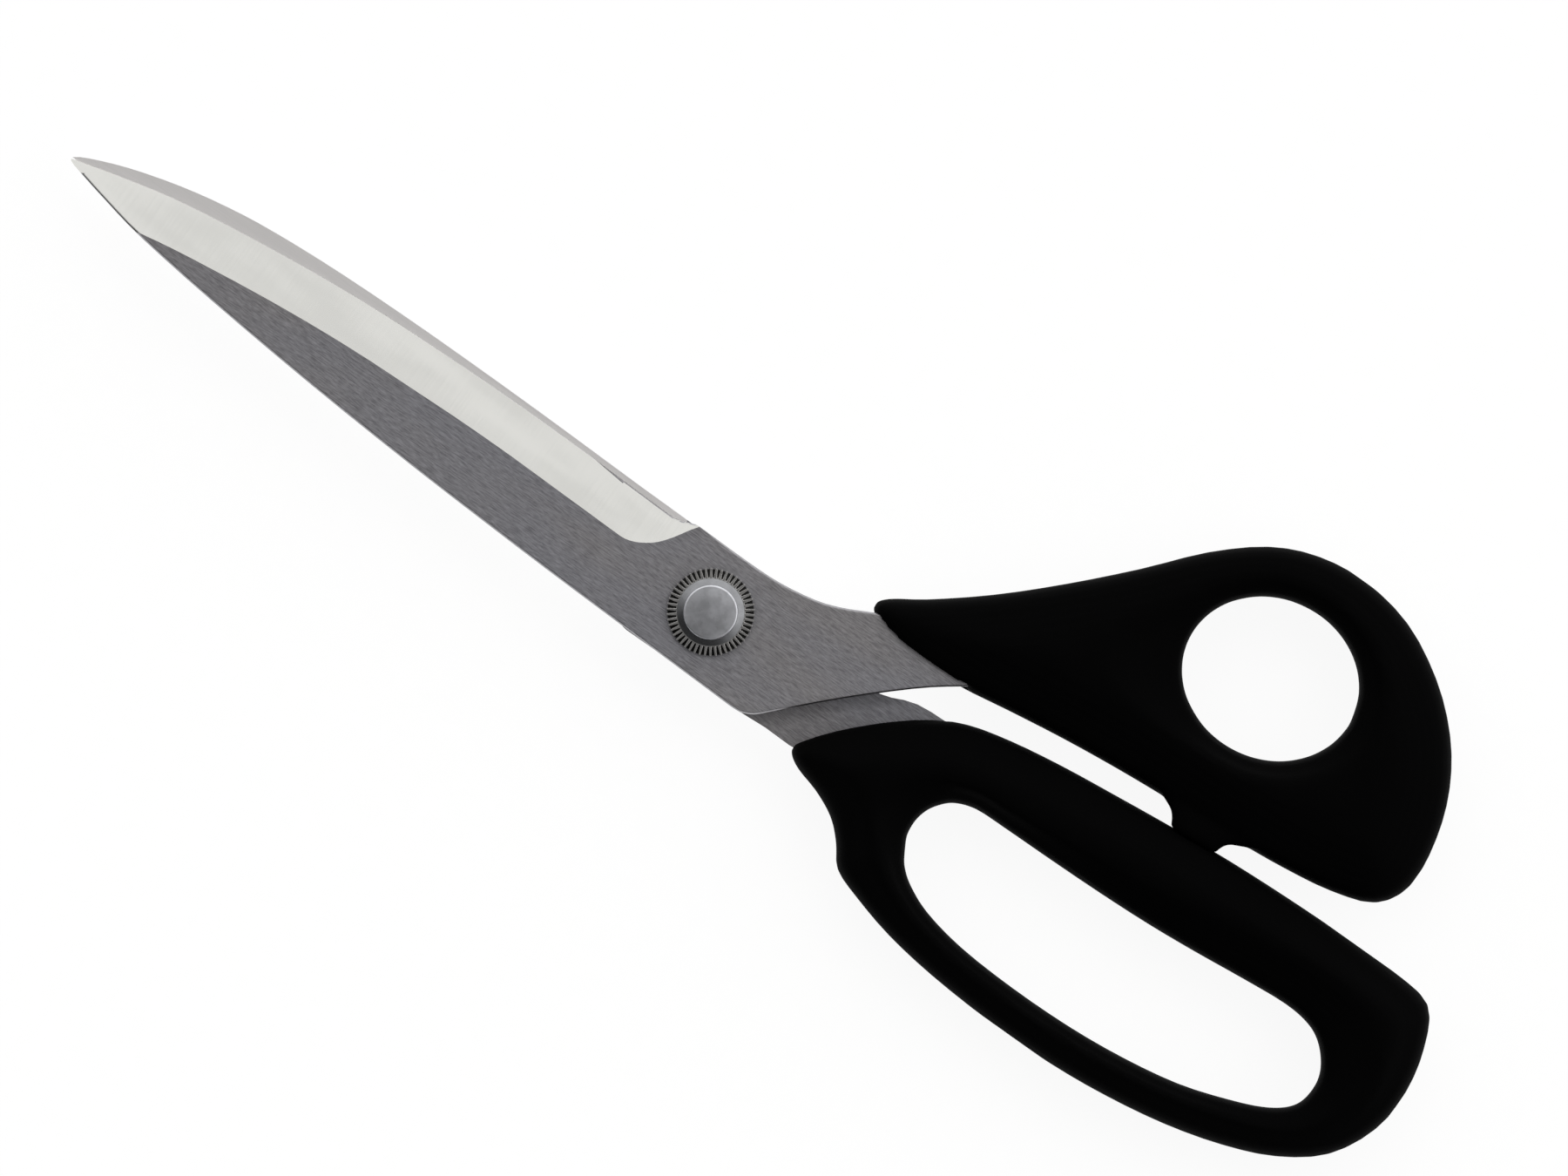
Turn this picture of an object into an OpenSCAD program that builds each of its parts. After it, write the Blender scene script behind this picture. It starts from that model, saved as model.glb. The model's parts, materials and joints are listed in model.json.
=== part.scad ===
// Fabric shears with soft offset handles, closed and lying flat.
// The pivot axis is Z through the origin. The blades point along -X and the thumb loop lies on
// the +Y side. Z = 0 is the surface that the shears lie on, and the shear plane is at half height.

/* [Blades] */
// Length of the blades from the pivot axis to the tips
blade_len = 120; // [95:1:150]
// Width of each blade at the pivot
blade_w = 19.4; // [16.2:0.1:24]
// Thickness of each blade
blade_t = 3; // [2.4:0.1:3.6]
// Thickness left along the cutting edge
edge_t = 0.3; // [0.2:0.05:0.6]
// Width of the ground bevel
bevel_w = 7.1; // [5.6:0.1:8]
// Gap between the inner faces of the blades
blade_gap = 0.1; // [0.05:0.01:0.15]
// Depth of the hollow ground in each inner face
hollow_depth = 0.2; // [0.1:0.02:0.3]
// Radius of the wheel that grinds the hollow
hollow_r = 140; // [110:5:170]
// Diameter of the plastic-filled holes in the tangs
tang_hole_d = 3; // [2:0.1:3.6]

/* [Handles] */
// Length of the handles from the pivot axis to the end of the finger loop
handle_len = 129.2; // [105:0.1:156]
// Clear width of the thumb hole across the handle
thumb_hole_w = 24.7; // [20:0.1:30]
// Clear width of the finger hole across the handle
finger_hole_w = 19.6; // [15.6:0.1:24.6]
// Overall thickness of the grips, and so of the shears
grip_t = 13.9; // [13.1:0.1:16.7]
// Half thickness of a grip where its face meets the rounded outer side
rim_h = 4.8; // [4.4:0.1:5.8]
// Half thickness of a grip where the finger openings begin to round in
lip_h = 4.4; // [4.2:0.1:5.4]
// Width of the rounded outer side of a grip
side_round = 2.6; // [2:0.1:3]
// Width of the rounded lip of a finger opening
lip_round = 1.4; // [1:0.1:1.8]
// Thickness of the soft skin around the hard core
skin = 2; // [1.6:0.1:2.2]
// Thickness of the hard core above and below its blade's faces
core_cover = 0.75; // [0.4:0.05:0.9]
// Gap between the closing stop and the other grip
stop_gap = 0.2; // [0.2:0.05:1]

/* [Pivot] */
// Diameter of the bolt's shoulder
shoulder_d = 6; // [5.4:0.1:7.2]
// Diameter of the bolt's thread
thread_d = 5; // [4:0.1:5.2]
// Diameter of the flat top of the bolt's button head, over its rounded rim
head_d = 8.4; // [7.6:0.1:9.2]
// Diameter of the button head's flared foot
foot_d = 10.3; // [9.6:0.1:10.6]
// Height of the button head
head_h = 1.7; // [1.2:0.1:2.4]
// Outer diameter of the serrated lock ring
ring_d = 13.5; // [11.8:0.1:15]
// Diameter of the smooth band inside the serrations
band_d = 10.6; // [10.3:0.1:11.2]
// Thickness of the lock ring
ring_t = 0.7; // [0.5:0.05:1]
// Number of serrations on the lock ring
ring_teeth = 50; // [36:1:60]
// Outer diameter of the bearing washer between the blades
bearing_d = 12; // [10:0.1:14]
// Depth of the recess that the bearing washer takes in each blade
bearing_recess = 0.4; // [0.3:0.05:0.6]
// Outer diameter of the disc spring
spring_d = 12.4; // [11:0.1:13]
// Free height of the disc spring
spring_h = 0.9; // [0.7:0.05:1.1]
// Thickness of the disc spring's steel
spring_t = 0.5; // [0.4:0.05:0.6]
// Thickness of the thrust washer under the disc spring
thrust_t = 0.5; // [0.4:0.05:0.7]
// Outer diameter of the pivot nut
nut_d = 13; // [12.4:0.1:15.6]
// Distance between the two spanner holes in the nut
spanner_pitch = 9; // [8.2:0.1:9.6]
// Diameter of the spanner holes
spanner_d = 1.6; // [1.3:0.05:1.9]
// Depth of the spanner holes
spanner_depth = 1.3; // [0.8:0.1:1.5]

/* [Clearances] */
// Radial running clearance on the bolt
run_clear = 0.04; // [0.02:0.01:0.1]
// Radial clearance of the washers on the bolt's shoulder
washer_clear = 0.1; // [0.05:0.05:0.2]
// Gap between the end of the bolt and the blind end of the nut
end_clear = 0.3; // [0.2:0.05:0.5]

/* [Hidden] */

// Heights of the stack at the pivot, from the resting surface upwards
shear_z = grip_t / 2;
front_z = shear_z + blade_gap / 2;
rear_z = shear_z - blade_gap / 2;
spring_z = rear_z - blade_t - spring_h;
nut_t = spring_z - thrust_t;
ring_z = front_z + blade_t;
head_z = ring_z + ring_t;
nut_floor = nut_t / 4;
core_h = blade_gap / 2 + blade_t + core_cover;

shoulder_r = shoulder_d / 2;
washer_r = shoulder_r + washer_clear;
over = 1;
steps = 3;

// Sizes at which the outlines below are drawn
drawn_blade = 120;
drawn_half_w = 9.7;
drawn_handle = 129.2;
drawn_thumb_w = 24.7;
drawn_finger_w = 19.6;
// Where the shanks end and the handles begin, and where the two openings begin
handle_x = 20;
pivot_x = 12;
thumb_bar_y = 28.9;
finger_bar_y = -0.7;

// A smooth curve through the rows of p, each row a point or a point with further values
function spline(a, b, c, d, t) =
    ((2 * b) + (c - a) * t + (2 * a - 5 * b + 4 * c - d) * t * t + (3 * b - a - 3 * c + d) * t * t * t) / 2;
function open_curve(p, n) =
    let (m = len(p) - 1)
    concat([for (i = [0:m - 1]) for (k = [0:n - 1])
                spline(p[max(i - 1, 0)], p[i], p[i + 1], p[min(i + 2, m)], k / n)], [p[m]]);
function closed_curve(p, n) =
    let (m = len(p))
    [for (i = [0:m - 1]) for (k = [0:n - 1])
        spline(p[(i + m - 1) % m], p[i], p[(i + 1) % m], p[(i + 2) % m], k / n)];
function reversed(p) = [for (i = [len(p) - 1:-1:0]) p[i]];

// From the drawn sizes to the chosen ones: the blades stretch before the pivot, the handles
// behind the shanks, and each loop grows away from its bar as its opening grows.
function fit_x(x) =
    x < 0 ? x * blade_len / drawn_blade
    : x < handle_x ? x
    : handle_x + (x - handle_x) * (handle_len - handle_x) / (drawn_handle - handle_x);
function fit_blade(p) = [fit_x(p.x), p.x > pivot_x ? p.y : p.y * blade_w / (2 * drawn_half_w)];
function fit_thumb(p) =
    let (rise = max(0, p.y - thumb_bar_y))
    [fit_x(p.x), p.y - rise + rise * thumb_hole_w / drawn_thumb_w];
function fit_finger(p) =
    let (drop = max(0, finger_bar_y - p.y))
    [fit_x(p.x), p.y + drop - drop * finger_hole_w / drawn_finger_w];

// Front blade: its edge, its spine, and its shank with the tang
front_edge = [[-120, 0], [-116, 1.1], [-111, 2.4], [-104, 4], [-96, 5.3], [-84, 6.8], [-72, 7.9],
              [-60, 8.5], [-44, 8.9], [-28, 8.8], [-13, 8.5]];
front_spine = [[-120, 0], [-119, -0.6], [-112, -2.2], [-104, -3.7], [-90, -5.3], [-70, -7],
               [-50, -8.2], [-30, -9], [-14, -9.45], [0, -9.75], [11, -10]];
front_lower = [[12.5, -9.9], [14.5, -8.9], [17, -6.4], [24, 0.8], [32, 8.3], [38, 13], [45, 17.8],
               [54, 20], [70, 20.9], [84, 21.6], [95, 22.4], [98, 23.4]];
front_upper = [[98.4, 24.8], [95, 25.8], [84, 25.9], [70, 25.9], [60, 26.1], [50, 25.8], [40, 23.6],
               [30, 19.2], [20, 14.2], [16, 12.2], [12, 10.8], [6, 9.8], [0, 9.6], [-9, 9.7]];
// Rear blade: the same, drawn turned over about the X axis so that its edge also lies on +Y
rear_edge = [[-120, -0.3], [-116, 0.1], [-112, 0.5], [-104, 1.4], [-96, 2.3], [-86, 3.5], [-72, 5.1],
             [-60, 6.3], [-40, 7.7], [-26, 8.3], [-13, 8.5]];
rear_spine = [[-120, -0.3], [-118, -1.5], [-112, -3.9], [-104, -6.2], [-96, -7.8], [-88, -8.8],
              [-76, -9.55], [-60, -9.9], [-40, -9.85], [-20, -9.5], [0, -9.3], [10, -8.9]];
rear_lower = [[17, -7.2], [23, -5.2], [28.4, -4.8], [34, -6.8], [42, -7.2], [52, -7.2], [64, -7.6],
              [80, -9], [96, -10.6], [106, -11.2], [109, -10.6]];
rear_upper = [[109.2, -8.2], [106, -6.4], [96, -5.6], [80, -3.9], [64, -3], [52, -2.6], [44, -1.6],
              [38, 1.6], [32, 6.4], [24, 9.4], [17, 9.6], [11, 9.9], [0, 9.7], [-9, 9.7]];
heel = [[-9.7, 9.6], [-10.5, 9.3], [-11.6, 8.8]];
// Where the bevel begins to run out, where it ends, and how late it leaves its full width
runout_x = -18;
heel_x = -9;
runout_power = 1.8;
front_holes = [[48, 22], [62, 23.3], [76, 23.6], [90, 24]];
rear_holes = [[50, -4.8], [66, -5.4], [82, -6.6], [98, -8.3]];

function blade_outline(edge, spine, lower, upper) =
    [for (p = concat(open_curve(spine, steps), open_curve(lower, steps), open_curve(upper, steps), heel,
                     [for (q = reversed(open_curve(edge, steps))) if (q.x > -drawn_blade) q]))
        fit_blade(p)];
front_outline = blade_outline(front_edge, front_spine, front_lower, front_upper);
rear_outline = blade_outline(rear_edge, rear_spine, rear_lower, rear_upper);

// Thumb grip: a row for each place around the loop, with the outer side's x and y, the angle at
// which the hole answers it, and how far the funnel around the hole reaches there
thumb_hole_at = [75.8, 41.25];
thumb_hole_l = 28;
thumb_hole_turn = 7.9;
thumb_rows = [[107.8, 43.4, 0, 4.4], [103.2, 50, 20, 4.2], [96.5, 55.8, 40, 4], [88, 60.2, 60, 3.9],
              [79, 61.7, 80, 3.9], [71, 60.7, 101, 4], [63.9, 57.5, 121, 4.4], [56.8, 51.4, 140, 5],
              [49.9, 43.4, 154, 6.4], [41.9, 34.9, 164, 8.6], [33.9, 27.2, 171, 10.4], [26, 20.7, 176, 11.4],
              [21.2, 17.4, 179.5, 12], [19.9, 15.3, 182, 12.2],
              [22.5, 13.4, 185, 12.4], [29, 12.5, 190, 12.4],
              [37, 12.8, 198, 11.8], [46, 14.2, 210, 10], [55, 15.5, 225, 7], [64, 16.5, 244, 4.4],
              [72.5, 17.2, 261, 3.2], [80, 17.6, 277, 3], [87, 18.2, 292, 3], [94, 18.9, 306, 3.2],
              [102, 20.2, 321, 3.4], [108.7, 22.7, 334, 3.8], [111.5, 28, 343, 4.2], [110.6, 35.9, 351, 4.4]];
function thumb_hole_point(a) =
    thumb_hole_at
    + thumb_hole_l / 2 * cos(a) * [cos(thumb_hole_turn), sin(thumb_hole_turn)]
    + drawn_thumb_w / 2 * sin(a) * [-sin(thumb_hole_turn), cos(thumb_hole_turn)];
thumb_loop = closed_curve([for (r = thumb_rows)
    concat(fit_thumb([r[0], r[1]]), fit_thumb(thumb_hole_point(r[2])), r[3])], steps);
// How far in from its outer side each grip keeps rising
thumb_rise = 9;
finger_rise = 4.6;

// Finger grip: the outer side's x and y, the opening's x and y, and the funnel's reach
finger_rows = [[22.3, -9.8, 43.9, -8.7, 6.5], [24.5, -11.6, 44, -9.8, 6.2],
               [29, -12.9, 44.3, -10.9, 5.6], [33.2, -14.9, 44.9, -12, 4.6],
               [36.2, -17.7, 45.6, -13.2, 3.8], [38.7, -20.8, 46.6, -14.6, 3.2],
               [43.5, -22.6, 48.9, -16.4, 2.8], [51, -24.5, 53.5, -18.4, 2.6],
               [60, -25.7, 61, -19.8, 2.5], [71, -26.3, 71, -20.3, 2.5],
               [82, -26.2, 81.5, -20.1, 2.5], [92, -25.3, 91, -19.2, 2.5],
               [102, -23.6, 100, -17.6, 2.6], [111, -21.1, 107.5, -15.2, 3],
               [118.7, -17.8, 113.3, -12.7, 4], [125.1, -12.8, 116.7, -9.8, 5.4],
               [128.7, -5.6, 117.5, -6.2, 7.4], [129.2, 1.6, 116.7, -3, 8.6],
               [127.6, 8.7, 114.2, 0, 9.4], [124.2, 14.4, 111.1, 1.6, 9.4],
               [117, 15.5, 106.4, 2.1, 8.4], [107, 15.55, 99, 1.5, 7.6],
               [97, 15.3, 90.5, 0.6, 6.8], [87, 14.8, 82, -0.1, 5.8],
               [77, 13.95, 73, -0.5, 4.8], [67, 12.9, 64, -0.7, 3.8],
               [57.5, 11.8, 56, -0.8, 3], [49, 10.4, 50.5, -1, 2.8],
               [42.1, 8.6, 47.2, -2.2, 3.2], [36.8, 5.8, 45.6, -3.7, 4.4],
               [31.7, 1.7, 44.6, -5.2, 5.4], [26.8, -3.2, 44.1, -6.6, 6.2],
               [23.5, -7.3, 43.9, -7.8, 6.5]];
finger_loop = closed_curve([for (r = finger_rows)
    concat(fit_finger([r[0], r[1]]), fit_finger([r[2], r[3]]), r[4])], steps);

// Half height of a grip's face. It rounds up from the outer side and keeps rising inwards, and
// from the opening it rounds up to the lip and climbs the funnel. The lower of the two counts,
// and they blend at the crest.
crest_blend = 0.5;
roundness = 0.84;
function rounded(d, width, height) =
    let (a = acos(1 - min(1, d / width)))
    height * pow(sin(a), roundness);
function side_height(d, rise) =
    d < side_round ? rounded(d, side_round, rim_h)
    : rim_h + (grip_t / 2 - rim_h) * sin(90 * min(1, (d - side_round) / rise));
function funnel_height(d, reach) =
    d < lip_round ? rounded(d, lip_round, lip_h)
    : lip_h + (grip_t / 2 - lip_h) * (d - lip_round) / (reach - lip_round);
function blended(a, b) =
    let (near = max(0, crest_blend - abs(a - b)) / crest_blend)
    min(a, b) - near * near * crest_blend / 4 * min(1, min(a, b) / lip_h);

// Distance from a point to a closed outline
function to_segment(p, a, b) =
    let (t = max(0, min(1, (p - a) * (b - a) / ((b - a) * (b - a)))))
    norm(p - a - t * (b - a));
function to_outline(p, outline) =
    let (m = len(outline))
    min([for (i = [0:m - 1]) to_segment(p, outline[i], outline[(i + 1) % m])]);

// How squarely the line across the grip leaves the outer side, at station i of a loop
function squareness(loop, i) =
    let (m = len(loop),
         ahead = loop[(i + 1) % m],
         behind = loop[(i + m - 1) % m],
         along = [ahead[0] - behind[0], ahead[1] - behind[1]],
         across = [loop[i][2] - loop[i][0], loop[i][3] - loop[i][1]])
    max(0.3, abs(along.x * across.y - along.y * across.x) / norm(along) / norm(across));

// Places along the line from the outer side to the opening, closer where the grip rounds
side_angles = [0, 22, 44, 66, 90];
lip_angles = [90, 60, 30, 0];
function places(width, square, reach) =
    let (side = side_round / square,
         crest = max(side + 0.5, width - reach))
    concat([for (a = side_angles) side * (1 - cos(a))],
           [for (u = [0.15, 0.4, 0.7, 1]) side + (crest - side) * u],
           [for (u = [0.35, 0.7]) crest + (width - lip_round - crest) * u],
           [for (a = lip_angles) width - lip_round * (1 - cos(a))]);
function grip_section(loop, i, sides, opening, rise) =
    let (start = sides[i],
         across = opening[i] - start,
         line = [for (q = places(norm(across), squareness(loop, i), loop[i][4]))
                    start + across * q / norm(across)],
         last = len(line) - 1,
         face = [for (k = [0:last])
             [line[k].x, line[k].y, k == 0 || k == last ? 0
              : blended(side_height(to_outline(line[k], sides), rise),
                        funnel_height(to_outline(line[k], opening), loop[i][4]))]])
    concat(face, [for (k = [last - 1:-1:1]) [face[k].x, face[k].y, -face[k].z]]);

module grip_body(loop, rise) {
    sides = [for (r = loop) [r[0], r[1]]];
    opening = [for (r = loop) [r[2], r[3]]];
    sections = [for (i = [0:len(loop) - 1]) grip_section(loop, i, sides, opening, rise)];
    m = len(sections);
    k = len(sections[0]);
    polyhedron(points = [for (s = sections) each s],
               faces = [for (i = [0:m - 1]) for (j = [0:k - 1])
                            [i * k + j, i * k + (j + 1) % k,
                             ((i + 1) % m) * k + (j + 1) % k, ((i + 1) % m) * k + j]],
               convexity = 6);
}

// The closing stop: a flared tab under the thumb grip, level with the finger grip's top
stop_h = 3.8;
stop_level = 13.85;
stop_root = 20.5;
stop_flank = [[70, 18.6], [73.2, 17.1], [75, 16.3], [76, 15.2], [76.6, stop_level + stop_gap]];
stop_far_flank = [[84.1, stop_level + stop_gap + 0.6], [84.4, 15.9], [85.2, 17], [87, 17.9], [90, 19.4]];
module closing_stop() {
    translate([0, 0, shear_z - stop_h]) linear_extrude(2 * stop_h)
        polygon([for (p = concat([[70, stop_root]], open_curve(stop_flank, steps),
                                 open_curve(stop_far_flank, steps), [[90, stop_root]])) fit_thumb(p)]);
}

// The core follows its grip a skin's thickness inside, and stops short of the nose
core_nose = 27;
function core_side(loop) =
    [for (i = [0:len(loop) - 1])
        let (start = [loop[i][0], loop[i][1]],
             across = [loop[i][2], loop[i][3]] - start,
             in = 1.1 * skin / squareness(loop, i))
        if (start.x > fit_x(core_nose)) start + across * in / norm(across)];
function core_opening(loop) =
    [for (r = loop)
        let (across = [r[2], r[3]] - [r[0], r[1]])
        [r[2], r[3]] - across * skin / norm(across)];
module core_body(loop) {
    difference() {
        translate([0, 0, -core_h]) linear_extrude(2 * core_h) polygon(core_side(loop));
        translate([0, 0, -core_h - over]) linear_extrude(2 * (core_h + over)) polygon(core_opening(loop));
    }
}

// What grinding takes off: a wedge at one angle all along, which runs out at the heel
module bevel_wedge(edge) {
    run = open_curve(edge, steps);
    slope = (blade_t - edge_t) / bevel_w;
    // Each station: x, the edge's y, and the share of the bevel's width that is ground
    stations = concat([[run[0].x - 4, run[0].y, 1]],
                      [for (p = run) if (p.x < runout_x) [p.x, p.y, 1]],
                      [for (u = [0:1 / 12:1.001])
                          let (x = runout_x + (heel_x - runout_x) * u)
                          [x, lookup(x, concat(run, reversed(heel))), 1 - pow(u, runout_power)]]);
    corners = [for (e = stations)
                   let (x = fit_x(e.x),
                        edge_y = e.y * blade_w / (2 * drawn_half_w),
                        limit = edge_y - bevel_w * e.z)
                   each [[x, limit - over / slope, blade_t + over],
                         [x, edge_y + over, blade_t - slope * (bevel_w * e.z + over)],
                         [x, edge_y + over, blade_t + over]]];
    n = len(stations);
    polyhedron(points = corners,
               faces = concat([[0, 1, 2]], [[3 * n - 1, 3 * n - 2, 3 * n - 3]],
                              [for (i = [0:n - 2]) for (j = [0:2])
                                  [3 * i + j, 3 * i + 3 + j, 3 * i + 3 + (j + 1) % 3, 3 * i + (j + 1) % 3]]),
               convexity = 4);
}

// A blade before grinding, its inner face down
module blank(outline, holes) {
    difference() {
        linear_extrude(blade_t) polygon(outline);
        for (p = holes)
            translate([fit_x(p.x), p.y, -over]) cylinder(d = tang_hole_d, h = blade_t + 2 * over, $fn = 32);
    }
}
module blade(outline, holes, edge, bore_r) {
    hollow_end = blade_len - 12;
    difference() {
        blank(outline, holes);
        bevel_wedge(edge);
        translate([0, 0, -over]) cylinder(r = bore_r, h = blade_t + 2 * over, $fn = 64);
        translate([0, 0, -over])
            cylinder(d = bearing_d + 2 * washer_clear, h = bearing_recess + over, $fn = 96);
        translate([-14, 0, hollow_depth - hollow_r])
            rotate([0, -90 - atan(hollow_depth / hollow_end), 0])
                cylinder(r = hollow_r, h = hollow_end, $fn = 180);
    }
}

module front_blank() { translate([0, 0, front_z]) blank(front_outline, front_holes); }
module rear_blank() { translate([0, 0, rear_z]) rotate([180, 0, 0]) blank(rear_outline, rear_holes); }

module front_blade() {
    color([0.46, 0.46, 0.47])
        translate([0, 0, front_z]) blade(front_outline, front_holes, front_edge, shoulder_r);
}
module rear_blade() {
    color([0.7, 0.69, 0.68])
        translate([0, 0, rear_z]) rotate([180, 0, 0])
            blade(rear_outline, rear_holes, rear_edge, shoulder_r + run_clear);
}
module thumb_core() {
    color([0.13, 0.13, 0.14]) difference() {
        translate([0, 0, shear_z]) core_body(thumb_loop);
        front_blank();
    }
}
module thumb_grip() {
    color([0.05, 0.05, 0.05]) difference() {
        union() {
            translate([0, 0, shear_z]) grip_body(thumb_loop, thumb_rise);
            closing_stop();
        }
        translate([0, 0, shear_z]) core_body(thumb_loop);
        front_blank();
    }
}
module finger_core() {
    color([0.13, 0.13, 0.14]) difference() {
        translate([0, 0, shear_z]) core_body(finger_loop);
        rear_blank();
    }
}
module finger_grip() {
    color([0.05, 0.05, 0.05]) difference() {
        translate([0, 0, shear_z]) grip_body(finger_loop, finger_rise);
        translate([0, 0, shear_z]) core_body(finger_loop);
        rear_blank();
    }
}

// Shoulder bolt with a round-edged button head on a flared foot; its shoulder ends just above the nut
module pivot_bolt() {
    head_round = 0.35;
    foot_h = 0.15;
    chamfer = 0.4;
    top = head_z + head_h;
    bottom = nut_floor + end_clear;
    shoulder_bottom = nut_t + 0.1;
    color([0.8, 0.8, 0.8]) rotate_extrude($fn = 96)
        polygon(concat([[0, bottom], [thread_d / 2 - chamfer, bottom], [thread_d / 2, bottom + chamfer],
                        [thread_d / 2, shoulder_bottom], [shoulder_r, shoulder_bottom],
                        [shoulder_r, head_z], [foot_d / 2, head_z], [foot_d / 2, head_z + foot_h]],
                       [for (a = [0:18:90]) [head_d / 2 - head_round * (1 - cos(a)),
                                             top - head_round * (1 - sin(a))]],
                       [[0, top]]));
}
// Lock ring: a thin washer whose upper face has radial teeth outside a smooth band
module lock_ring() {
    pitch = 360 / ring_teeth;
    flank = [[0, band_d], [0.14, ring_d], [0.5, ring_d], [0.64, band_d]];
    color([0.62, 0.62, 0.62]) translate([0, 0, ring_z]) difference() {
        union() {
            cylinder(d = ring_d - 0.3, h = 0.4 * ring_t, $fn = 96);
            linear_extrude(ring_t) polygon([for (t = [0:ring_teeth - 1]) for (f = flank)
                f[1] / 2 * [cos((t + f[0]) * pitch), sin((t + f[0]) * pitch)]]);
        }
        translate([0, 0, -over]) cylinder(r = washer_r, h = ring_t + 2 * over, $fn = 64);
    }
}
module bearing_washer() {
    thickness = 2 * bearing_recess + blade_gap;
    color([0.75, 0.6, 0.3]) translate([0, 0, rear_z - bearing_recess]) difference() {
        cylinder(d = bearing_d, h = thickness, $fn = 96);
        translate([0, 0, -over]) cylinder(r = washer_r, h = thickness + 2 * over, $fn = 64);
    }
}
// Coned disc spring: its rim bears on the thrust washer and its hole's edge on the rear blade
module disc_spring() {
    cone = spring_h - spring_t;
    color([0.55, 0.55, 0.56]) translate([0, 0, spring_z]) rotate_extrude($fn = 96)
        polygon([[washer_r, cone], [spring_d / 2, 0], [spring_d / 2, spring_t], [washer_r, spring_h]]);
}
module thrust_washer() {
    color([0.6, 0.6, 0.6]) translate([0, 0, nut_t]) difference() {
        cylinder(d = spring_d, h = thrust_t, $fn = 96);
        translate([0, 0, -over]) cylinder(r = washer_r, h = thrust_t + 2 * over, $fn = 64);
    }
}
// Closed nut with a flat outer face and two blind holes for a pin spanner
module pivot_nut() {
    chamfer = 0.4;
    color([0.66, 0.66, 0.66]) difference() {
        rotate_extrude($fn = 96)
            polygon([[0, 0], [nut_d / 2 - chamfer, 0], [nut_d / 2, chamfer], [nut_d / 2, nut_t], [0, nut_t]]);
        translate([0, 0, nut_floor]) cylinder(r = thread_d / 2 + run_clear, h = nut_t, $fn = 64);
        for (side = [-1, 1])
            translate([side * spanner_pitch / 2, 0, -over])
                cylinder(d = spanner_d, h = spanner_depth + over, $fn = 32);
    }
}

front_blade();
rear_blade();
thumb_core();
thumb_grip();
finger_core();
finger_grip();
pivot_bolt();
lock_ring();
bearing_washer();
disc_spring();
thrust_washer();
pivot_nut();
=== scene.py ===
"""Fabric shears: the looks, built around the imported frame."""
import json
import math

import bmesh
import bpy
from bpy.props import FloatProperty, FloatVectorProperty, IntProperty, PointerProperty
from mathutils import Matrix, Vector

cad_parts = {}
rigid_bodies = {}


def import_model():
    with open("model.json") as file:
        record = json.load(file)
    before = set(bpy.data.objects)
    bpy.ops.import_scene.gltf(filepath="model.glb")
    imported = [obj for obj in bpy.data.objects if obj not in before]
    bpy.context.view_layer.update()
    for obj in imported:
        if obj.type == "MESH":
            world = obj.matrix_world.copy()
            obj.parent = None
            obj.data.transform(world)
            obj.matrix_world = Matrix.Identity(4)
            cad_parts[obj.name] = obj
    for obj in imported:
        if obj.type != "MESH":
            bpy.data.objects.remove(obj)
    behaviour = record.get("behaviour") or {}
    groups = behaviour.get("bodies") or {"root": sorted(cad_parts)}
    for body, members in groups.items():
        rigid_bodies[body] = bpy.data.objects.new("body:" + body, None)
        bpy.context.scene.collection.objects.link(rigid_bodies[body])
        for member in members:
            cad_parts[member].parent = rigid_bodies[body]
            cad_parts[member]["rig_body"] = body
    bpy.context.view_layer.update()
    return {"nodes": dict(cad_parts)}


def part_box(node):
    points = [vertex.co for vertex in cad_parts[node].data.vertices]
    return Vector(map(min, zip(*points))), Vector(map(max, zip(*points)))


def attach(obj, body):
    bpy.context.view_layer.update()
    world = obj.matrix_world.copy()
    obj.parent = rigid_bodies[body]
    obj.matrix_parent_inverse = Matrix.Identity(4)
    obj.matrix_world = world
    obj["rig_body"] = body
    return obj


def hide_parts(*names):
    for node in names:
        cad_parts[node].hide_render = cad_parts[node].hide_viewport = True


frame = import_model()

MM = 0.001

bl_info = {
    "name": "Fabric Shears",
    "version": (1, 0, 0),
    "blender": (4, 5, 0),
    "location": "View3D > Sidebar > Shears",
    "description": "Builds a pair of fabric shears around its engineering frame",
    "category": "Object",
}

BLADE_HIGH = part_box("front_blade")[1]
BOLT_LOW, BOLT_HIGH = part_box("pivot_bolt")
NUT_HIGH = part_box("pivot_nut")[1]
RING_LOW, RING_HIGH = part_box("lock_ring")
RING_T = RING_HIGH.z - RING_LOW.z
# Sides of a blade higher than this are rounded; lower ones are the cutting edge
KEEN = 1.0 * MM
# The pivot's bore and recess lie within this radius
PIVOT_ZONE = 7.0 * MM
# Edges that turn more than this are shaded crisp
CRISP = math.radians(40)
BLADE_CRISP = math.radians(35)
BOLT_CRISP = math.radians(25)
# Edges of the hardware that turn more than this are eased
EASED = math.radians(30)
# Faces within these angles of each other are one face
BLADE_FLAT = math.radians(0.2)
HARDWARE_FLAT = math.radians(0.5)
# Vertices closer than this are one vertex
WELD = 0.002 * MM
# Least part of the normal along Z of a blade's flat, of its bevel and of its inner face
FLAT_UP = 0.995
BEVEL_UP = 0.8
INNER_UP = 0.9
# Distance between the lathe's marks on the bolt and the nut
TURNING_PITCH = 0.11 * MM
# Segments of the bolt around its axis
TURNED_STEPS = 128
# Middle of the camera's view, and its turn about the vertical
VIEW_CENTRE = (7.0 * MM, 9.5 * MM)
VIEW_TURN = math.radians(35.3534)
CLIP_END = 20.0
# The floor's half width, and its drop below the shears so that the two don't touch
FLOOR_HALF = 2.0
FLOOR_DROP = 0.05 * MM


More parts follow.
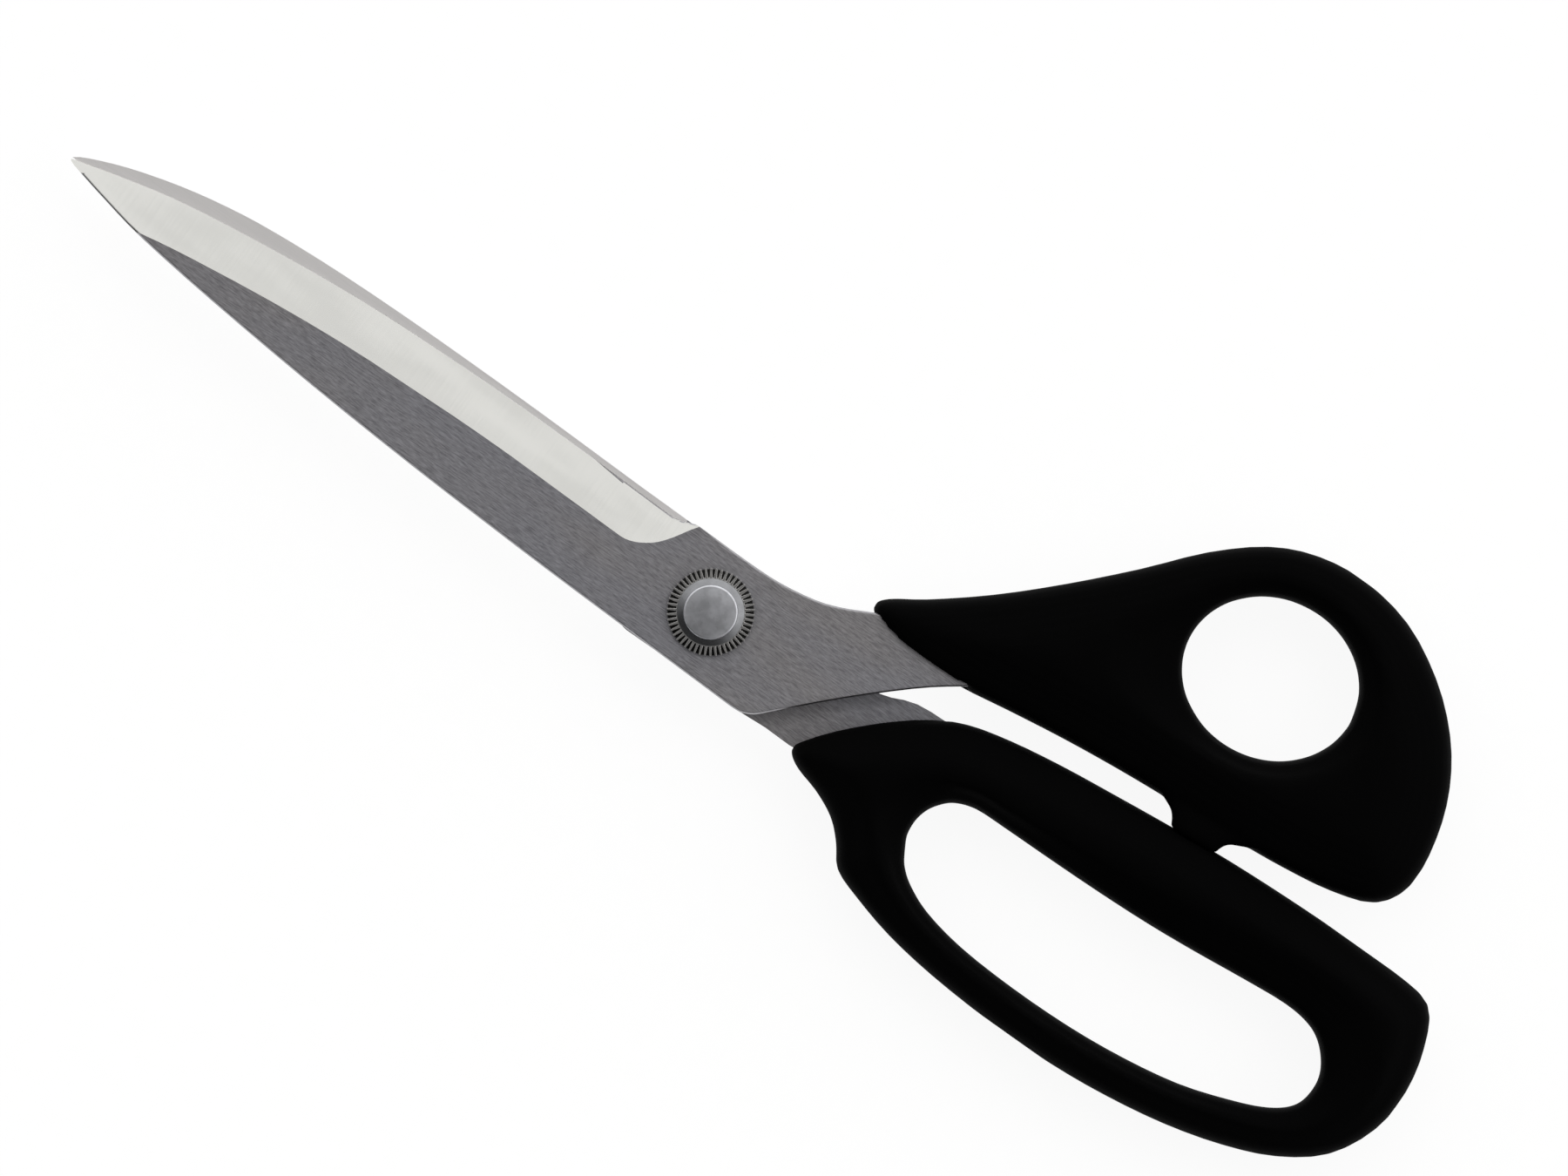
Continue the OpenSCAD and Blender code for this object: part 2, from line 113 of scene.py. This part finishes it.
class BladeSettings(bpy.types.PropertyGroup):
    """Sizes and colours of the two blades."""
    edge_round: FloatProperty(
        name="Edge round", description="Rounding of the blades' outer edges",
        default=0.45 * MM, min=0.05 * MM, max=0.8 * MM, unit="LENGTH")
    satin_from: FloatProperty(
        name="Satin from", description="Distance from the pivot where the inner faces' satin finish begins",
        default=11 * MM, min=8 * MM, max=20 * MM, unit="LENGTH")
    brushed: FloatVectorProperty(
        name="Brushed face", description="Colour of the brushed outer faces",
        default=(0.44, 0.435, 0.455), size=3, min=0, max=1, subtype="COLOR")
    polished: FloatVectorProperty(
        name="Ground bevel", description="Colour of the polished bevels",
        default=(0.62, 0.62, 0.6), size=3, min=0, max=1, subtype="COLOR")
    satin: FloatVectorProperty(
        name="Inner face", description="Colour of the hollow-ground inner faces",
        default=(0.98, 0.965, 0.96), size=3, min=0, max=1, subtype="COLOR")


class GripSettings(bpy.types.PropertyGroup):
    """Sizes and colours of the soft grips."""
    cell: FloatProperty(
        name="Cell", description="Size of the even cells that a grip is rebuilt from",
        default=0.45 * MM, min=0.3 * MM, max=1 * MM, unit="LENGTH")
    easing: IntProperty(
        name="Easing", description="Passes that smooth a rebuilt grip all over", default=1, min=0, max=30)
    fairing: IntProperty(
        name="Fairing", description="Passes that smooth its heights alone and keep its outline",
        default=16, min=0, max=60)
    swell: FloatProperty(
        name="Swell", description="Growth of the outline that makes up for the rebuilding",
        default=0.13 * MM, min=0, max=0.3 * MM, unit="LENGTH")
    colour: FloatVectorProperty(
        name="Soft skin", description="Colour of the soft skin",
        default=(0.0011, 0.0011, 0.0012), size=3, min=0, max=1, subtype="COLOR")


class PivotSettings(bpy.types.PropertyGroup):
    """Sizes and colours of the pivot's hardware."""
    head_width: FloatProperty(
        name="Head", description="Diameter of the button head's top",
        default=8.4 * MM, min=7 * MM, max=10 * MM, unit="LENGTH")
    head_round: FloatProperty(
        name="Head rim", description="Rounding of the button head's rim",
        default=0.35 * MM, min=0.1 * MM, max=0.8 * MM, unit="LENGTH")
    foot_height: FloatProperty(
        name="Foot", description="Height of the flared foot's outer edge",
        default=0.4 * MM, min=0.05 * MM, max=0.6 * MM, unit="LENGTH")
    crown: FloatProperty(
        name="Crown", description="Rise of the button head's top from its rim to its middle",
        default=0.28 * MM, min=0, max=0.5 * MM, unit="LENGTH")
    shoulder: FloatProperty(
        name="Shoulder", description="Diameter of the bolt's shoulder",
        default=6 * MM, min=4 * MM, max=7 * MM, unit="LENGTH")
    thread: FloatProperty(
        name="Thread", description="Diameter of the bolt's thread",
        default=5 * MM, min=3 * MM, max=6 * MM, unit="LENGTH")
    arris: FloatProperty(
        name="Arris", description="Rounding of the serrations and the nut's edges",
        default=0.08 * MM, min=0.02 * MM, max=0.15 * MM, unit="LENGTH")
    # Painted shade: the skirt's and the nut's steel is a darker copy of the head top's steel, so the head's
    # sloped side reads darker
    steel: FloatVectorProperty(
        name="Turned steel", description="Colour of the turned skirt and the nut",
        default=(0.29, 0.295, 0.31), size=3, min=0, max=1, subtype="COLOR")
    # Painted light: the head's rim and top take this lighter copy of the same steel, a painted highlight on
    # the rim
    faced: FloatVectorProperty(
        name="Faced steel", description="Colour of the button head's faced top",
        default=(0.72, 0.73, 0.77), size=3, min=0, max=1, subtype="COLOR")
    ring: FloatVectorProperty(
        name="Ring steel", description="Colour of the serrations' crests",
        default=(0.72, 0.71, 0.7), size=3, min=0, max=1, subtype="COLOR")


class StageSettings(bpy.types.PropertyGroup):
    """The floor, the light and the camera."""
    view_width: FloatProperty(
        name="View width", description="Width that the camera frames on the floor",
        default=0.2398, min=0.1, max=1, unit="LENGTH")
    camera_distance: FloatProperty(
        name="Camera distance", description="Height of the camera above the blades",
        default=3.0, min=0.5, max=6, unit="LENGTH")
    dome: FloatProperty(
        name="Dome", description="Strength of the studio dome's bright side", default=1.15, min=0, max=5)


# Materials

class Wire:
    """A node's output, which Python's operators turn into Math nodes."""

    def __init__(self, graph, socket):
        self.graph = graph
        self.socket = socket

    def math(self, operation, first, second):
        return self.graph.node("ShaderNodeMath", {"operation": operation}, {0: first, 1: second})

    def __add__(self, other):
        return self.math("ADD", self, other)

    def __radd__(self, other):
        return self.math("ADD", other, self)

    def __sub__(self, other):
        return self.math("SUBTRACT", self, other)

    def __rsub__(self, other):
        return self.math("SUBTRACT", other, self)

    def __mul__(self, other):
        return self.math("MULTIPLY", self, other)

    def __rmul__(self, other):
        return self.math("MULTIPLY", other, self)


class Graph:
    """A material's or the world's nodes."""

    def __init__(self, owner):
        owner.use_nodes = True
        self.tree = owner.node_tree
        self.tree.nodes.clear()

    def node(self, kind, settings=None, inputs=None, output=0):
        """Adds a node, sets it, fills its sockets with values or links, and gives an output."""
        made = self.tree.nodes.new(kind)
        for name, value in (settings or {}).items():
            if name == "stops":
                self.set_stops(made.color_ramp.elements, value)
            else:
                setattr(made, name, value)
        for key, value in (inputs or {}).items():
            if isinstance(value, Wire):
                self.tree.links.new(value.socket, made.inputs[key])
            else:
                made.inputs[key].default_value = value
        return Wire(self, made.outputs[output]) if len(made.outputs) else None

    @staticmethod
    def set_stops(elements, stops):
        while len(elements) < len(stops):
            elements.new(1.0)
        for element, (place, colour) in zip(elements, stops):
            element.position = place
            element.color = colour

    def place(self, scale=(1, 1, 1), turn=(0, 0, 0)):
        """Object coordinates, scaled, in metres."""
        at = self.node("ShaderNodeTexCoord", output="Object")
        return self.node("ShaderNodeMapping", {}, {"Vector": at, "Scale": scale, "Rotation": turn})

    def noise(self, at, scale, detail=2.0, roughness=0.5):
        return self.node("ShaderNodeTexNoise", {},
                         {"Vector": at, "Scale": scale, "Detail": detail, "Roughness": roughness})

    def blend(self, mode, amount, first, second):
        """Two colours mixed by amount; each is a wire or three numbers."""
        first, second = (part if isinstance(part, Wire) else (*part, 1) for part in (first, second))
        return self.node("ShaderNodeMix", {"data_type": "RGBA", "blend_type": mode},
                         {0: amount, 6: first, 7: second}, output=2)

    def tint(self, amount, first, second):
        """A colour that goes from first to second with amount."""
        return self.blend("MIX", amount, first, second)

    def mask(self, value, low, high):
        """0 below low and 1 above high, with a smooth step between."""
        return self.node("ShaderNodeMapRange", {"interpolation_type": "SMOOTHSTEP"},
                         {"Value": value, "From Min": low, "From Max": high})

    def bump(self, height, strength, distance):
        return self.node("ShaderNodeBump", {},
                         {"Height": height, "Strength": strength, "Distance": distance})

    def surface(self, **inputs):
        """The Principled shader, with its sockets by name, joined to the output."""
        named = {key.replace("_", " "): value for key, value in inputs.items()}
        shader = self.node("ShaderNodeBsdfPrincipled", {}, named)
        self.node("ShaderNodeOutputMaterial", {}, {"Surface": shader})


def shade(colour, factor):
    return tuple(min(1.0, part * factor) for part in colour)


def material(name):
    made = bpy.data.materials.new(name)
    return made, Graph(made)


def brushed_steel(settings):
    """Steel brushed along the blade: hairlines of mixed length and width, and a few stray scratches."""
    made, g = material("brushed_steel")
    fine = g.noise(g.place((620, 6400, 6400)), 1.0, 3.0, 0.75)
    broad = g.noise(g.place((260, 3000, 3000)), 1.0, 2.0, 0.6)
    cloud = g.noise(g.place((22, 60, 60)), 1.0, 2.0)
    stray = g.noise(g.place((130, 3600, 900), (0, 0, math.radians(9))), 1.0, 1.0)
    scratch = g.mask(stray, 0.7, 0.76)
    lines = fine * 0.75 + broad * 0.25
    steel = g.tint(g.mask(lines, 0.3, 0.7), shade(settings.brushed, 0.6), shade(settings.brushed, 1.32))
    cast = g.tint(g.mask(cloud, 0.35, 0.65), (0.965, 0.97, 1.0), (1.0, 0.98, 0.965))
    warm = g.blend("MULTIPLY", 1.0, steel, cast)
    g.surface(Base_Color=g.blend("MIX", scratch * 0.35, warm, shade(settings.brushed, 1.5)),
              Metallic=1.0, Roughness=0.5 + lines * 0.14,
              Normal=g.bump(lines + scratch * 0.3, 0.2, 0.02 * MM))
    return made


def polished_bevel(settings):
    """The ground and polished bevel, with faint wheel marks across it."""
    made, g = material("polished_bevel")
    marks = g.noise(g.place((2600, 90, 90), (0, 0, math.radians(-12))), 1.0, 2.0)
    cloud = g.noise(g.place((45, 160, 160)), 1.0, 2.0)
    tone = marks * 0.2 + cloud * 0.8
    g.surface(Base_Color=g.tint(g.mask(tone, 0.35, 0.65), shade(settings.polished, 0.94),
                                shade(settings.polished, 1.05)),
              Metallic=1.0, Roughness=0.19 + marks * 0.06,
              Normal=g.bump(marks, 0.04, 0.01 * MM))
    return made


def satin_steel(settings):
    """The hollow-ground inner faces: satin, with wheel marks along the blade."""
    made, g = material("satin_steel")
    marks = g.noise(g.place((120, 3800, 3800)), 1.0, 3.0, 0.6)
    cloud = g.noise(g.place((30, 90, 90)), 1.0, 2.0)
    g.surface(Base_Color=g.tint(marks * 0.6 + cloud * 0.4, shade(settings.satin, 0.9),
                                shade(settings.satin, 1.02)),
              Metallic=1.0, Roughness=0.68 + marks * 0.12,
              Normal=g.bump(marks, 0.12, 0.01 * MM))
    return made


def side_steel(settings):
    """The blanked sides of the blades, linished across their thickness."""
    made, g = material("side_steel")
    marks = g.noise(g.place((2600, 2600, 220)), 1.0, 2.0)
    g.surface(Base_Color=g.tint(marks, shade(settings.brushed, 0.7), shade(settings.brushed, 1.15)),
              Metallic=1.0, Roughness=0.28 + marks * 0.14,
              Normal=g.bump(marks, 0.12, 0.01 * MM))
    return made


def turned_steel(name, colour, roughness, depth, sheen):
    """Steel from the lathe, with fine rings around the pivot axis; sheen turns the light with them."""
    made, g = material(name)
    radius = g.node("ShaderNodeVectorMath", {"operation": "LENGTH"}, {0: g.place((1, 1, 0))}, "Value")
    rings = g.node("ShaderNodeMath", {"operation": "SINE"}, {0: radius * (2 * math.pi / TURNING_PITCH)})
    wander = g.noise(g.place((700, 700, 700)), 1.0, 3.0)
    spots = g.mask(g.noise(g.place((1900, 1900, 1900)), 1.0, 2.0), 0.62, 0.7)
    steel = g.tint(g.mask(wander, 0.3, 0.7), shade(colour, 0.88), shade(colour, 1.08))
    g.surface(Base_Color=g.blend("MIX", spots * 0.25, steel, shade(colour, 0.6)),
              Metallic=1.0, Roughness=roughness + wander * 0.1, Anisotropic=sheen,
              Normal=g.bump(rings * 0.5 + wander * 0.5, depth, 0.006 * MM))
    return made


def serrated_steel(settings):
    """The lock ring: grained steel on the crests, and painted shade, near black, in the gaps below them."""
    made, g = material("serrated_steel")
    height = g.node("ShaderNodeSeparateXYZ", {}, {0: g.place()}, "Z")
    # Painted shade: under half the ring's thickness the colour falls nearly to black, standing in for the
    # shade in the gaps; this mask is 1 on the crests
    crest_clear_of_painted_shade = g.node("ShaderNodeMapRange", {"interpolation_type": "SMOOTHSTEP"},
                   {"Value": height, "From Min": RING_LOW.z + 0.5 * RING_T, "From Max": RING_HIGH.z})
    grain = g.noise(g.place((1800, 1800, 1800)), 1.0, 2.0)
    worn = g.tint(grain, shade(settings.ring, 0.85), shade(settings.ring, 1.15))
    # The crests keep the grained steel; the gaps take the near-black painted shade
    g.surface(Base_Color=g.blend("MIX", crest_clear_of_painted_shade, shade(settings.ring, 0.035), worn),
              Metallic=1.0, Roughness=0.2 + grain * 0.15)
    return made


def washer_steel(name, colour, roughness):
    """A rolled and punched washer, with a faint grain and tumbling marks."""
    made, g = material(name)
    grain = g.noise(g.place((2500, 2500, 2500)), 1.0, 2.0)
    marks = g.noise(g.place((600, 600, 600)), 1.0, 2.0)
    g.surface(Base_Color=g.tint(grain * 0.5 + marks * 0.5, shade(colour, 0.8), shade(colour, 1.2)),
              Metallic=1.0, Roughness=roughness + marks * 0.14,
              Normal=g.bump(grain, 0.1, 0.008 * MM))
    return made


def soft_skin(settings):
    """Soft-touch elastomer: a dead black with a very fine grain and faint handling sheen."""
    made, g = material("soft_skin")
    grain = g.noise(g.place(), 4200.0, 3.0, 0.6)
    cloud = g.noise(g.place(), 55.0, 3.0)
    g.surface(Base_Color=g.tint(cloud, shade(settings.colour, 0.75), shade(settings.colour, 1.3)),
              Roughness=0.7 + cloud * 0.14, Specular_IOR_Level=0.035,
              Normal=g.bump(grain, 0.3, 0.03 * MM))
    return made


def hard_core():
    """The moulded core inside the grips."""
    made, g = material("hard_core")
    grain = g.noise(g.place(), 1500.0, 2.0)
    g.surface(Base_Color=g.tint(grain, (0.02, 0.02, 0.021), (0.03, 0.03, 0.032)),
              Roughness=0.45 + grain * 0.1, Normal=g.bump(grain, 0.1, 0.02 * MM))
    return made


def paper_floor():
    """The plain white floor."""
    made, g = material("paper_floor")
    fibre = g.noise(g.place(), 300.0, 2.0)
    g.surface(Base_Color=g.tint(fibre, (0.14, 0.14, 0.14), (0.16, 0.16, 0.16)), Roughness=0.9,
              Specular_IOR_Level=0.05, Emission_Color=(1, 1, 1, 1), Emission_Strength=0.92)
    return made


# Mesh helpers

def merged_copy(node):
    """A bmesh of a frame node, welded and with no collapsed faces."""
    bm = bmesh.new()
    bm.from_mesh(frame["nodes"][node].data)
    bmesh.ops.remove_doubles(bm, verts=bm.verts, dist=WELD)
    bmesh.ops.dissolve_degenerate(bm, dist=WELD / 2, edges=bm.edges)
    bm.normal_update()
    return bm


def finished(bm, name, node, materials):
    """Makes the bmesh an object that stands for node, rides on its body and hides the node."""
    mesh = bpy.data.meshes.new(name)
    bm.to_mesh(mesh)
    bm.free()
    for each in materials:
        mesh.materials.append(each)
    made = bpy.data.objects.new(name, mesh)
    bpy.context.scene.collection.objects.link(made)
    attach(made, frame["nodes"][node]["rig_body"])
    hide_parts(node)
    return made


def angle_of(edge):
    return edge.calc_face_angle(0.0) if len(edge.link_faces) == 2 else 0.0


def mark_edges(bm, limit):
    """Smooth faces, with sharp edges where the angle passes limit or the material changes."""
    for face in bm.faces:
        face.smooth = True
    for edge in bm.edges:
        kinds = {face.material_index for face in edge.link_faces}
        edge.smooth = angle_of(edge) < limit and len(kinds) == 1


# Pieces

BRUSHED, GROUND, HOLLOW, SIDE = range(4)


def finish_of(face, outward, satin_from):
    """Which finish a blade's face has; outward is +1 where its outer face looks up."""
    up = face.normal.z * outward
    if up > FLAT_UP:
        return BRUSHED
    if up > BEVEL_UP:
        return GROUND
    if up > -BEVEL_UP:
        return SIDE
    return HOLLOW if face.calc_center_median().x < -satin_from else BRUSHED


def is_outer_edge(edge, outward):
    """An edge between a blade's outer face and its full-height side, away from the pivot's bore."""
    side, face = sorted(edge.link_faces, key=lambda each: each.normal.z * outward)
    if side.material_index != SIDE or face.material_index not in (BRUSHED, GROUND):
        return False
    heights = [vert.co.z for vert in side.verts]
    middle = (edge.verts[0].co + edge.verts[1].co) / 2
    return max(heights) - min(heights) > KEEN and middle.xy.length > PIVOT_ZONE


def build_blade(node, outward, settings):
    """A blade's shape from its frame node, with its outer edges rounded and a finish on each face."""
    bm = merged_copy(node)
    bmesh.ops.dissolve_limit(bm, angle_limit=BLADE_FLAT, verts=bm.verts, edges=bm.edges)
    inner = [face for face in bm.faces if face.normal.z * outward < -INNER_UP]
    around = list({part for face in inner for part in (*face.verts, *face.edges)})
    bmesh.ops.bisect_plane(bm, geom=inner + around, plane_co=(-settings.satin_from, 0, 0), plane_no=(1, 0, 0))
    for face in bm.faces:
        face.material_index = finish_of(face, outward, settings.satin_from)
    bmesh.ops.bevel(bm, geom=[edge for edge in bm.edges if is_outer_edge(edge, outward)],
                    offset=settings.edge_round, offset_type="OFFSET", segments=3, profile=0.5,
                    affect="EDGES", material=-1, clamp_overlap=False)
    mark_edges(bm, BLADE_CRISP)
    made = finished(bm, node + "_steel", node,
                    [brushed_steel(settings), polished_bevel(settings),
                     satin_steel(settings), side_steel(settings)])
    weighted = made.modifiers.new("face_weighted", "WEIGHTED_NORMAL")
    weighted.keep_sharp = True
    return made


def rebuilt(bm, cell):
    """The same shape as even cells, from a throwaway object's voxel remesh."""
    mesh = bpy.data.meshes.new("rough")
    bm.to_mesh(mesh)
    rough = bpy.data.objects.new("rough", mesh)
    bpy.context.scene.collection.objects.link(rough)
    remesh = rough.modifiers.new("remesh", "REMESH")
    remesh.mode = "VOXEL"
    remesh.voxel_size = cell
    even = bpy.data.meshes.new_from_object(rough.evaluated_get(bpy.context.evaluated_depsgraph_get()))
    bm.clear()
    bm.from_mesh(even)
    bpy.data.objects.remove(rough)
    for used in (mesh, even):
        bpy.data.meshes.remove(used)


def build_grip(node, settings, skin):
    """A grip's shape from its frame node, rebuilt from even cells and smoothed."""
    bm = merged_copy(node)
    rebuilt(bm, settings.cell)
    for turn in range(settings.easing + settings.fairing):
        around = turn < settings.easing
        bmesh.ops.smooth_vert(bm, verts=bm.verts, factor=0.5, use_axis_x=around, use_axis_y=around,
                              use_axis_z=True)
    bm.normal_update()
    low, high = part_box(node)
    for vert in bm.verts:
        grown = vert.co.xy + vert.normal.xy * settings.swell
        vert.co.x = min(max(grown.x, low.x), high.x)
        vert.co.y = min(max(grown.y, low.y), high.y)
    mark_edges(bm, CRISP)
    return finished(bm, node + "_skin", node, [skin])


def turned(profile):
    """A shape from the lathe: the profile's radii and heights, spun around the pivot axis."""
    bm = bmesh.new()
    verts = [bm.verts.new((radius, 0, height)) for radius, height in profile]
    edges = [bm.edges.new(pair) for pair in zip(verts, verts[1:])]
    bmesh.ops.spin(bm, geom=verts + edges, cent=(0, 0, 0), axis=(0, 0, 1), angle=2 * math.pi,
                   steps=TURNED_STEPS, use_merge=True)
    bmesh.ops.remove_doubles(bm, verts=bm.verts, dist=WELD / 2)
    bmesh.ops.recalc_face_normals(bm, faces=bm.faces)
    return bm


def build_bolt(settings, plain, faced):
    """The shoulder bolt, whose button head has a rounded rim and a straight skirt out to its foot."""
    head_z = RING_HIGH.z
    foot_r = BOLT_HIGH.x
    foot_z = head_z + settings.foot_height
    crown_r = settings.head_width / 2 - settings.head_round
    rim_z = BOLT_HIGH.z - settings.crown - settings.head_round
    rim = [(crown_r + settings.head_round * math.cos(a), rim_z + settings.head_round * math.sin(a))
           for a in (math.pi / 2 * k / 6 for k in range(1, 7))]
    crown = [(crown_r * t, BOLT_HIGH.z - settings.crown * t ** 2) for t in (k / 8 for k in range(7, -1, -1))]
    bm = turned([(0, BOLT_LOW.z), (settings.thread / 2, BOLT_LOW.z),
                 (settings.thread / 2, NUT_HIGH.z), (settings.shoulder / 2, NUT_HIGH.z),
                 (settings.shoulder / 2, head_z), (foot_r, head_z), (foot_r, foot_z),
                 (settings.head_width / 2, rim_z)] + rim + crown)
    # The rim and the top take the lighter steel as painted light; the skirt, foot and shank take the darker
    # copy as painted shade
    for face in bm.faces:
        face.material_index = int(face.calc_center_median().z > rim_z)
    mark_edges(bm, BOLT_CRISP)
    return finished(bm, "pivot_bolt_turned", "pivot_bolt", [plain, faced])


def build_eased(node, arris, made):
    """A piece of hardware from its frame node, with every sharp edge eased."""
    bm = merged_copy(node)
    bmesh.ops.dissolve_limit(bm, angle_limit=HARDWARE_FLAT, verts=bm.verts, edges=bm.edges)
    bmesh.ops.bevel(bm, geom=[edge for edge in bm.edges if angle_of(edge) > EASED],
                    offset=arris, offset_type="OFFSET", segments=2, profile=0.5,
                    affect="EDGES", material=-1, clamp_overlap=True)
    mark_edges(bm, CRISP)
    eased = finished(bm, node + "_eased", node, [made])
    weighted = eased.modifiers.new("face_weighted", "WEIGHTED_NORMAL")
    weighted.keep_sharp = True
    return eased


class SHEARS_OT_blades(bpy.types.Operator):
    """Builds both blades with their ground bevels and rounded edges."""
    bl_idname = "shears.blades"
    bl_label = "Blades"

    def execute(self, context):
        settings = context.scene.shears_blades
        build_blade("front_blade", 1, settings)
        build_blade("rear_blade", -1, settings)
        return {"FINISHED"}


class SHEARS_OT_grips(bpy.types.Operator):
    """Builds the soft skins of both handles."""
    bl_idname = "shears.grips"
    bl_label = "Grips"

    def execute(self, context):
        settings = context.scene.shears_grips
        skin = soft_skin(settings)
        build_grip("thumb_grip", settings, skin)
        build_grip("finger_grip", settings, skin)
        core = hard_core()
        for node in ("thumb_core", "finger_core"):
            dress(node, core)
        return {"FINISHED"}


def dress(node, made):
    """Gives a frame node, whose shape is right, its material."""
    mesh = frame["nodes"][node].data
    mesh.materials.clear()
    mesh.materials.append(made)


class SHEARS_OT_pivot(bpy.types.Operator):
    """Builds the pivot's bolt, lock ring, washers and nut."""
    bl_idname = "shears.pivot"
    bl_label = "Pivot"

    def execute(self, context):
        settings = context.scene.shears_pivot
        # One turned steel in two copies: a darker one as painted shade on the skirt and the nut, a lighter
        # one as painted light on the head's rim and top
        steel = turned_steel("turned_steel", settings.steel, 0.16, 0.1, 0.0)
        build_bolt(settings, steel, turned_steel("faced_steel_painted_light", settings.faced, 0.3, 0.16, 0.85))
        build_eased("pivot_nut", settings.arris, steel)
        build_eased("lock_ring", settings.arris, serrated_steel(settings))
        dress("disc_spring", washer_steel("spring_steel", (0.4, 0.4, 0.41), 0.3))
        dress("thrust_washer", washer_steel("washer_steel", (0.5, 0.5, 0.5), 0.35))
        dress("bearing_washer", washer_steel("bearing_brass", (0.6, 0.42, 0.18), 0.3))
        return {"FINISHED"}


def studio_dome(settings):
    """A dome that is bright towards the thumb side, darker on the other, with a dim top."""
    world = bpy.data.worlds.new("studio_dome")
    bpy.context.scene.world = world
    g = Graph(world)
    way = g.node("ShaderNodeTexCoord", output="Generated")
    parts = {axis: g.node("ShaderNodeSeparateXYZ", {}, {0: way}, output=axis) for axis in "XYZ"}
    side = 0.06 + g.mask(parts["Y"], -0.75, 0.5) * 0.94
    top = 1 - g.mask(parts["Z"], 0.78, 0.95) * 0.82
    sky = g.node("ShaderNodeBackground", {},
                 {"Color": (1, 0.995, 0.985, 1), "Strength": side * top * settings.dome})
    g.node("ShaderNodeOutputWorld", {}, {"Surface": sky})


class SHEARS_OT_stage(bpy.types.Operator):
    """Sets the floor, the studio light and the camera."""
    bl_idname = "shears.stage"
    bl_label = "Stage"

    def execute(self, context):
        settings = context.scene.shears_stage
        bm = bmesh.new()
        bmesh.ops.create_grid(bm, x_segments=1, y_segments=1, size=FLOOR_HALF)
        mesh = bpy.data.meshes.new("floor")
        bm.to_mesh(mesh)
        bm.free()
        mesh.materials.append(paper_floor())
        floor = bpy.data.objects.new("floor", mesh)
        context.scene.collection.objects.link(floor)
        floor.location.z = -FLOOR_DROP

        lens = bpy.data.cameras.new("camera")
        lens.sensor_width = 36.0
        lens.lens = lens.sensor_width * settings.camera_distance / settings.view_width
        camera = bpy.data.objects.new("camera", lens)
        context.scene.collection.objects.link(camera)
        camera.location = (*VIEW_CENTRE, settings.camera_distance + BLADE_HIGH.z)
        camera.rotation_euler = (0, 0, VIEW_TURN)
        context.scene.camera = camera
        lens.clip_end = CLIP_END

        studio_dome(settings)
        context.scene.view_settings.view_transform = "Standard"
        return {"FINISHED"}


class SHEARS_PT_build(bpy.types.Panel):
    """Lists what the add-on builds."""
    bl_label = "Fabric Shears"
    bl_space_type = "VIEW_3D"
    bl_region_type = "UI"
    bl_category = "Shears"

    def draw(self, context):
        for operator in OPERATORS:
            self.layout.operator(operator.bl_idname)
        for name in SETTINGS:
            group = getattr(context.scene, name)
            for key in group.__annotations__:
                self.layout.prop(group, key)


SETTINGS = {
    "shears_blades": BladeSettings,
    "shears_grips": GripSettings,
    "shears_pivot": PivotSettings,
    "shears_stage": StageSettings,
}
OPERATORS = (SHEARS_OT_stage, SHEARS_OT_blades, SHEARS_OT_grips, SHEARS_OT_pivot)
CLASSES = (*SETTINGS.values(), *OPERATORS, SHEARS_PT_build)


def register():
    for each in CLASSES:
        bpy.utils.register_class(each)
    for name, group in SETTINGS.items():
        setattr(bpy.types.Scene, name, PointerProperty(type=group))


def unregister():
    for name in SETTINGS:
        delattr(bpy.types.Scene, name)
    for each in reversed(CLASSES):
        bpy.utils.unregister_class(each)


def main():
    register()
    bpy.ops.shears.stage()
    bpy.ops.shears.blades()
    bpy.ops.shears.grips()
    bpy.ops.shears.pivot()


if __name__ == "__main__":
    main()
